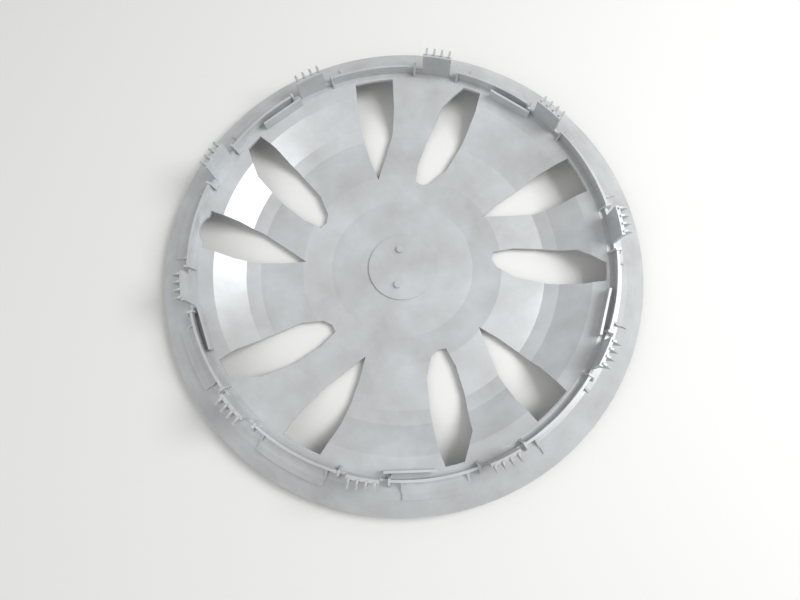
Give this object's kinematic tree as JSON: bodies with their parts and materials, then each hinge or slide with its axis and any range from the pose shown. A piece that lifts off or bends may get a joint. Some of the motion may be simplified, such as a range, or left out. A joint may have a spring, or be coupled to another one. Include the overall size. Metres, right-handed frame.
{
  "type": "wheel cover",
  "caption": "Round silver-grey plastic wheel cover with a pattern of wedge and leaf windows, spring clips around its back and a convex outer flange.",
  "frame": {"origin": "centre of the front face, on the surface that the cover lies on face down", "axes": "+Z along the wheel's axis, out of the side that faces the wheel"},
  "size_m": [0.4, 0.4, 0.0524],
  "materials": {
    "silver_plastic": "satin silver"
  },
  "bodies": {
    "root": {"cover": "silver_plastic"}
  },
  "joints": []
}
